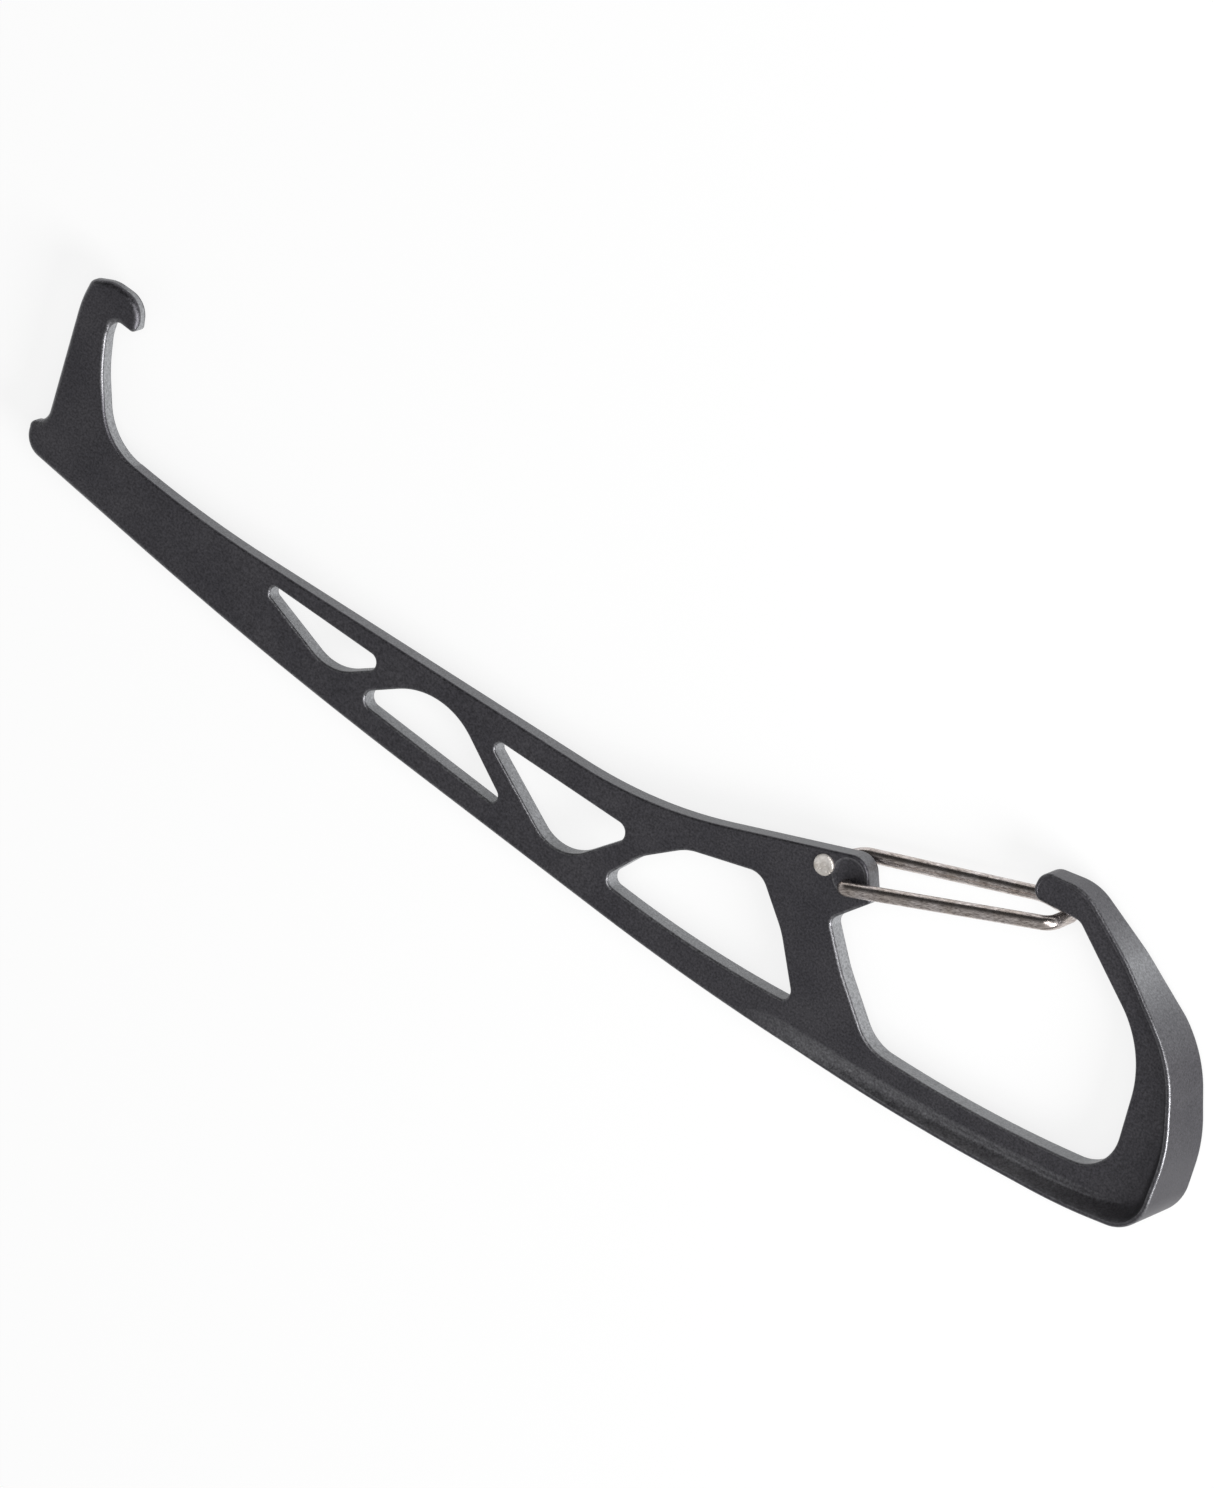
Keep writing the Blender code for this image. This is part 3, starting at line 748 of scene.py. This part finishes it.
def blasted(tree, grains_per_mm, clouds_per_mm):
    """The outputs of the blasted metal at this scale: Grain, Cloud and Height."""
    made = node(tree, "Group", node_tree=blasted_metal)
    made.inputs["Grain Per Millimetre"].default_value = grains_per_mm
    made.inputs["Cloud Per Millimetre"].default_value = clouds_per_mm
    return made.outputs


def make_rubbed_and_highlit_group():
    """Rubbed edges with painted highlights: the mesh's own edge mark, broken up by noise."""
    group, given, result = new_group(
        "rubbed_and_highlit_edges", [("Patch Per Millimetre", RUB_AND_HIGHLIGHT_PATCHES_PER_MM), ("Strength", 1.0)], ["Worn"]
    )
    mark = node(group, "Attribute", attribute_name="edge_wear_and_highlight")
    patches = noise(group, in_millimetres(group), given.outputs[0], 4.0, 0.65)
    broken = ramp(group, patches, 0.35, 0.65, 0.5, 1.0)
    worn_and_highlit = node(group, "Math", [(0, mark.outputs["Fac"]), (1, broken)], operation="MULTIPLY")
    links = [(0, worn_and_highlit.outputs[0]), (1, given.outputs[1])]
    scaled = node(group, "Math", links, operation="MULTIPLY", use_clamp=True)
    group.links.new(scaled.outputs[0], result.inputs["Worn"])
    return group


def new_material(name):
    """A material with only its Principled shader: (material, node tree, shader)."""
    material = bpy.data.materials.new(name)
    material.use_nodes = True
    tree = material.node_tree
    return material, tree, tree.nodes["Principled BSDF"]


def add_bump(tree, shader, height, strength, height_in_mm):
    """Joins a bump to the shader, from a height socket that stands for this many millimetres."""
    bump = node(tree, "Bump", [("Height", height)], Strength=strength, Distance=height_in_mm * MM)
    tree.links.new(bump.outputs["Normal"], shader.inputs["Normal"])


def make_anodised():
    material, tree, shader = new_material("hard_anodised_aluminium")
    surface = blasted(tree, SKIN_GRAINS_PER_MM, SKIN_CLOUDS_PER_MM)
    wear_and_highlight = node(tree, "Group", node_tree=make_rubbed_and_highlit_group())
    wear_and_highlight.inputs["Strength"].default_value = RUB_AND_HIGHLIGHT_STRENGTH
    worn_and_highlit = wear_and_highlight.outputs["Worn"]
    # A painted sheen on the walls, over the edge mark of wear with painted highlight.
    wall = node(tree, "Attribute", attribute_name="painted_wall_sheen").outputs["Fac"]
    skin = mixed(tree, surface["Cloud"], SKIN_DARK, SKIN_PALE)
    bare = painted_over(tree, wall, painted_over(tree, worn_and_highlit, skin, RUBBED_AND_HIGHLIT_METAL), WALL_SHEEN_METAL)
    colour = multiplied(tree, bare, mixed(tree, surface["Grain"], SPECKLE_DARK, SPECKLE_PALE))
    tree.links.new(colour, shader.inputs["Base Color"])
    metallic = ramp(tree, wall, 0.0, 1.0, SKIN_METALLIC, WALL_SHEEN_METALLIC)
    tree.links.new(metallic, shader.inputs["Metallic"])
    satin = ramp(tree, surface["Grain"], 0.0, 1.0, SMOOTH_SKIN, ROUGH_SKIN)
    smoother = ramp(tree, worn_and_highlit, 0.0, 1.0, 0.0, RUBBED_AND_HIGHLIT_SMOOTHER)
    rough = node(tree, "Math", [(0, satin), (1, smoother)], operation="SUBTRACT")
    tree.links.new(rough.outputs[0], shader.inputs["Roughness"])
    add_bump(tree, shader, surface["Height"], SKIN_BUMP, SKIN_BUMP_HEIGHT)
    return material


forging = make_forging()
cut_far_recess(forging)
keep_faces_flat(forging)
forging.data.materials.append(make_anodised())
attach(forging, "body")
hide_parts("forged_body")

# Wire gate
# One length of drawn stainless spring wire: two straight legs, one along each face, and a crossbar
# bent between them that rests under the nose. Each leg's end turns down to its recess in the lug.
WIRE_RADIUS = 1.2
WIRE_CLEARANCE = 0.3
WIRE_SIDES = 32
WIRE_STEP = 6.0
BEND_INSIDE = 0.6
END_BEND_INSIDE = 0.05
FAR_LEG_BENDS = (12.0, 6.0)
CROSSBAR_SHARE = 0.65
CROSSBAR_NEAR_END = Vector((-0.2, -0.5))
CROSSBAR_FAR_END = Vector((0.3, 0.3))
FAR_LEG_UNDER_NOSE = Vector((0.1, -0.95))
FAR_LEG_OVER_LUG = Vector((3.5, 3.2))
NEAR_ARM = 3.2
END_GAP = 0.03
STEEL_DARK = (0.2, 0.17, 0.165)
STEEL_PALE = (0.97, 0.9, 0.88)
TINT_DARK = (0.8, 0.76, 0.7)
TINT_PALE = (1.1, 1.1, 1.1)
SMOOTH_STREAK = 0.22
ROUGH_STREAK = 0.34
STREAKS_ROUND_WIRE = 9.0
STREAK_STRETCH = (1.0, 1.0, 0.16)
WIRE_GRAINS_PER_MM = 5.0
WIRE_CLOUDS_PER_MM = 0.3
WIRE_BUMP = 0.18
WIRE_BUMP_HEIGHT = 0.02


def filleted_path(points, radii):
    """Points along the straight runs, with a circular bend at each inner point."""
    found = [points[0]]
    for i, radius in enumerate(radii, start=1):
        back = (points[i - 1] - points[i]).normalized()
        on = (points[i + 1] - points[i]).normalized()
        turn = math.pi - back.angle(on)
        centre = points[i] + (back + on).normalized() * radius / math.cos(turn / 2)
        start = points[i] + back * radius * math.tan(turn / 2) - centre
        count = max(2, math.ceil(math.degrees(turn) / WIRE_STEP))
        for k in range(count + 1):
            angle = turn * k / count
            found.append(centre + start * math.cos(angle) - back * radius * math.sin(angle))
    found.append(points[-1])
    return found


def gate_route():
    """The wire's middle line: up from the lug, along the near leg, the crossbar and the far leg."""
    near = leg_end(NEAR_ARM)
    far = leg_end(-FAR_ARM)
    end_z = face_height(near.x) + END_GAP
    leg_z = face_height(NOSE_END.x) + WIRE_CLEARANCE + WIRE_RADIUS
    rest = NOSE.lerp(NOSE_END, CROSSBAR_SHARE) - Vector((0.0, WIRE_RADIUS + WIRE_CLEARANCE))
    corners = [
        Vector((*near, end_z)),
        Vector((*near, leg_z)),
        Vector((*(rest + CROSSBAR_NEAR_END), leg_z)),
        Vector((*(rest + CROSSBAR_FAR_END), -leg_z)),
        Vector((*(NOSE + FAR_LEG_UNDER_NOSE), -leg_z)),
        Vector((*(far + FAR_LEG_OVER_LUG), -leg_z)),
        Vector((*far, -leg_z)),
        Vector((*far, -end_z)),
    ]
    bend = WIRE_RADIUS + BEND_INSIDE
    end_bend = WIRE_RADIUS + END_BEND_INSIDE
    return filleted_path(corners, [end_bend, bend, bend, *FAR_LEG_BENDS, end_bend])


def make_gate():
    path = gate_route()
    bm = bmesh.new()
    lines = bm.verts.layers.float_vector.new("drawn_lines")
    side = Vector((1.0, 0.0, 0.0))
    run = 0.0
    rings = []
    for i, point in enumerate(path):
        before = point - path[i - 1] if i > 0 else path[1] - path[0]
        after = path[i + 1] - point if i + 1 < len(path) else before
        run += before.length if i > 0 else 0.0
        along = (before.normalized() + after.normalized()).normalized()
        side = (side - along * side.dot(along)).normalized()
        other = along.cross(side)
        ring = []
        for k in range(WIRE_SIDES):
            turn = 2 * math.pi * k / WIRE_SIDES
            vert = bm.verts.new(point + WIRE_RADIUS * (side * math.cos(turn) + other * math.sin(turn)))
            vert[lines] = Vector((math.cos(turn), math.sin(turn), run / WIRE_RADIUS))
            ring.append(vert)
        rings.append(ring)
    for ring, following in zip(rings, rings[1:]):
        add_band(bm, ring, following)
    for ring in (rings[0], rings[-1]):
        bm.faces.new(ring)
    made = object_from(bm, "gate_wire")
    keep_faces_flat(made)
    return made


def make_drawn_wire():
    material, tree, shader = new_material("drawn_stainless_wire")
    drawn = node(tree, "Attribute", attribute_name="drawn_lines")
    along = node(tree, "VectorMath", [(0, drawn.outputs["Vector"])], operation="MULTIPLY")
    along.inputs[1].default_value = STREAK_STRETCH
    links = [("Vector", along.outputs[0])]
    streaks = node(tree, "TexNoise", links, Scale=STREAKS_ROUND_WIRE, Detail=5.0, Roughness=0.7)
    streak = ramp(tree, streaks.outputs["Fac"], 0.36, 0.64)
    surface = blasted(tree, WIRE_GRAINS_PER_MM, WIRE_CLOUDS_PER_MM)
    steel = mixed(tree, streak, STEEL_DARK, STEEL_PALE)
    tint = mixed(tree, surface["Cloud"], TINT_DARK, TINT_PALE)
    tree.links.new(multiplied(tree, steel, tint), shader.inputs["Base Color"])
    rough = ramp(tree, streak, 0.0, 1.0, ROUGH_STREAK, SMOOTH_STREAK)
    tree.links.new(rough, shader.inputs["Roughness"])
    add_bump(tree, shader, streaks.outputs["Fac"], WIRE_BUMP, WIRE_BUMP_HEIGHT)
    shader.inputs["Metallic"].default_value = 1.0
    return material


gate_wire = make_gate()
gate_wire.data.materials.append(make_drawn_wire())
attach(gate_wire, "gate")
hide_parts("wire_gate")

# Peened buttons
# The ends of the wire where they come out on the other face, hammered over so that they can't pull
# back through their holes: low discs with a dimpled, uneven top.
BUTTON_RADIUS = 1.8
BUTTON_HEIGHT = 0.45
BUTTON_SEAT = 0.1
BUTTON_SIDES = 48
BUTTON_OVAL = 0.012
BUTTON_RIPPLE = 0.008
BUTTON_SMOOTH_ANGLE = 50.0
PEENED_DARK = (0.66, 0.61, 0.56)
PEENED_PALE = (0.98, 0.94, 0.90)
SMOOTH_PEENED = 0.42
ROUGH_PEENED = 0.58
PEENED_GRAINS_PER_MM = 1.6
PEENED_CLOUDS_PER_MM = 0.9
PEENED_BUMP = 0.8
PEENED_BUMP_HEIGHT = 0.15


def uneven_share(angle):
    """The button's uneven edge at this angle, as a share of its radius."""
    oval = BUTTON_OVAL * math.sin(math.radians(2 * angle + 40))
    ripple = BUTTON_RIPPLE * math.sin(math.radians(5 * angle))
    return 1 + oval + ripple


def make_button(name, centre, side):
    """A button on one face over the leg's end: side is 1 on the upper face and -1 on the lower."""
    bm = bmesh.new()
    profile = [
        (1.0, -BUTTON_SEAT),
        (1.0, 0.55 * BUTTON_HEIGHT),
        (0.985, 0.72 * BUTTON_HEIGHT),
        (0.95, 0.86 * BUTTON_HEIGHT),
        (0.88, 0.95 * BUTTON_HEIGHT),
        (0.78, BUTTON_HEIGHT),
        (0.6, 0.97 * BUTTON_HEIGHT),
        (0.42, 0.86 * BUTTON_HEIGHT),
        (0.24, 0.78 * BUTTON_HEIGHT),
        (0.1, 0.76 * BUTTON_HEIGHT),
    ]
    rings = []
    for share, height in profile:
        ring = []
        for k in range(BUTTON_SIDES):
            angle = 360 * k / BUTTON_SIDES
            place = centre + at_angle(angle, BUTTON_RADIUS * share * uneven_share(angle))
            ring.append(bm.verts.new((place.x, place.y, side * (face_height(centre.x) + height))))
        rings.append(ring)
    for lower, upper in zip(rings, rings[1:]):
        add_band(bm, lower, upper)
    for ring in (rings[0], rings[-1]):
        bm.faces.new(ring)
    return object_from(bm, name, BUTTON_SMOOTH_ANGLE)


def make_peened_steel():
    material, tree, shader = new_material("peened_stainless")
    surface = blasted(tree, PEENED_GRAINS_PER_MM, PEENED_CLOUDS_PER_MM)
    tree.links.new(mixed(tree, surface["Cloud"], PEENED_DARK, PEENED_PALE), shader.inputs["Base Color"])
    rough = ramp(tree, surface["Grain"], 0.0, 1.0, SMOOTH_PEENED, ROUGH_PEENED)
    tree.links.new(rough, shader.inputs["Roughness"])
    add_bump(tree, shader, surface["Height"], PEENED_BUMP, PEENED_BUMP_HEIGHT)
    shader.inputs["Metallic"].default_value = 0.9
    return material


peened_steel = make_peened_steel()
for name, arm, side in (("far_leg_button", -FAR_ARM, 1), ("near_leg_button", NEAR_ARM, -1)):
    button = make_button(name, leg_end(arm), side)
    button.data.materials.append(peened_steel)
    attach(button, "body")

# Floor, lamps and camera
# A plain white floor under the tool, a soft lamp low on the clip's side, a weaker one on the camera's,
# a sky that darkens towards the gate's side, and the camera that looks down from that side.
FLOOR_SIZE = 6.0
FLOOR_GAP = 0.0002
FLOOR_COLOUR = (0.9, 0.9, 0.9, 1.0)
FLOOR_GLOW_SHARE = 0.82
CAMERA_DISTANCE = 2.0
CAMERA_LENS = 302.42
SENSOR_WIDTH = 36.0
TOWARD_CAMERA = Vector((0.36214, 0.44480, 0.81915))
CAMERA_UP = Vector((-0.55445, 0.80922, -0.19429))
DARK_SIDE = Vector((-0.36, 0.82, 0.45))
SKY_LEVEL = 0.42
DARK_LEVEL = 0.03


def make_floor():
    bm = bmesh.new()
    bmesh.ops.create_grid(bm, x_segments=1, y_segments=1, size=FLOOR_SIZE / 2)
    bmesh.ops.translate(bm, vec=(0.0, 0.0, -FLOOR_GAP), verts=bm.verts)
    mesh = bpy.data.meshes.new("floor")
    bm.to_mesh(mesh)
    bm.free()
    made = bpy.data.objects.new("floor", mesh)
    bpy.context.scene.collection.objects.link(made)
    return made


def make_floor_paper():
    """Paper that shows nearly white to the camera and in the metal, and keeps a soft shadow."""
    material = bpy.data.materials.new("floor_paper")
    material.use_nodes = True
    tree = material.node_tree
    tree.nodes.remove(tree.nodes["Principled BSDF"])
    paper = node(tree, "BsdfDiffuse")
    paper.inputs["Color"].default_value = FLOOR_COLOUR
    glow = node(tree, "Emission")
    glow.inputs["Strength"].default_value = 1.0
    seen = node(tree, "LightPath")
    links = [(0, seen.outputs["Is Camera Ray"]), (1, seen.outputs["Is Glossy Ray"])]
    direct = node(tree, "Math", links, operation="ADD")
    links = [(0, direct.outputs[0]), (1, seen.outputs["Is Transmission Ray"])]
    shown = node(tree, "Math", links, operation="ADD")
    share = ramp(tree, shown.outputs[0], 0.0, 1.0, 0.0, FLOOR_GLOW_SHARE)
    blend = node(tree, "MixShader", [(0, share), (1, paper.outputs[0]), (2, glow.outputs[0])])
    tree.links.new(blend.outputs[0], tree.nodes["Material Output"].inputs["Surface"])
    return material


def add_soft_lamp(name, towards, distance, size, power):
    """A square lamp in this direction from the tool, facing it."""
    lamp = bpy.data.lights.new(name, "AREA")
    lamp.shape = "SQUARE"
    lamp.size = size
    lamp.energy = power
    made = bpy.data.objects.new(name, lamp)
    made.location = drawing_place + Vector(towards).normalized() * distance
    made.rotation_euler = Vector(towards).to_track_quat("Z", "Y").to_euler()
    bpy.context.scene.collection.objects.link(made)


def add_camera():
    data = bpy.data.cameras.new("photo_view")
    data.lens = CAMERA_LENS
    data.sensor_width = SENSOR_WIDTH
    data.clip_end = 20.0
    made = bpy.data.objects.new("photo_view", data)
    right = CAMERA_UP.cross(TOWARD_CAMERA)
    turned = Matrix((right, CAMERA_UP, TOWARD_CAMERA)).transposed().to_4x4()
    turned.translation = drawing_place + TOWARD_CAMERA * CAMERA_DISTANCE
    made.matrix_world = turned
    bpy.context.scene.collection.objects.link(made)
    bpy.context.scene.camera = made


floor = make_floor()
floor.data.materials.append(make_floor_paper())

sky = bpy.data.worlds.new("studio")
sky.use_nodes = True
direction = node(sky.node_tree, "TexCoord").outputs["Generated"]
toward_dark = node(sky.node_tree, "VectorMath", [(0, direction)], operation="DOT_PRODUCT")
toward_dark.inputs[1].default_value = DARK_SIDE.normalized()
sky_level = ramp(sky.node_tree, toward_dark.outputs["Value"], 0.4, 0.8, SKY_LEVEL, DARK_LEVEL)
sky.node_tree.links.new(sky_level, sky.node_tree.nodes["Background"].inputs["Strength"])
sky.node_tree.nodes["Background"].inputs["Color"].default_value = (1.0, 1.0, 1.0, 1.0)
bpy.context.scene.world = sky
bpy.context.scene.view_settings.view_transform = "Standard"

add_soft_lamp("right_lamp", towards=(0.9, 0.1, 0.45), distance=1.2, size=0.5, power=16.0)
add_soft_lamp("fill_lamp", towards=TOWARD_CAMERA, distance=1.2, size=0.6, power=6.0)
add_camera()
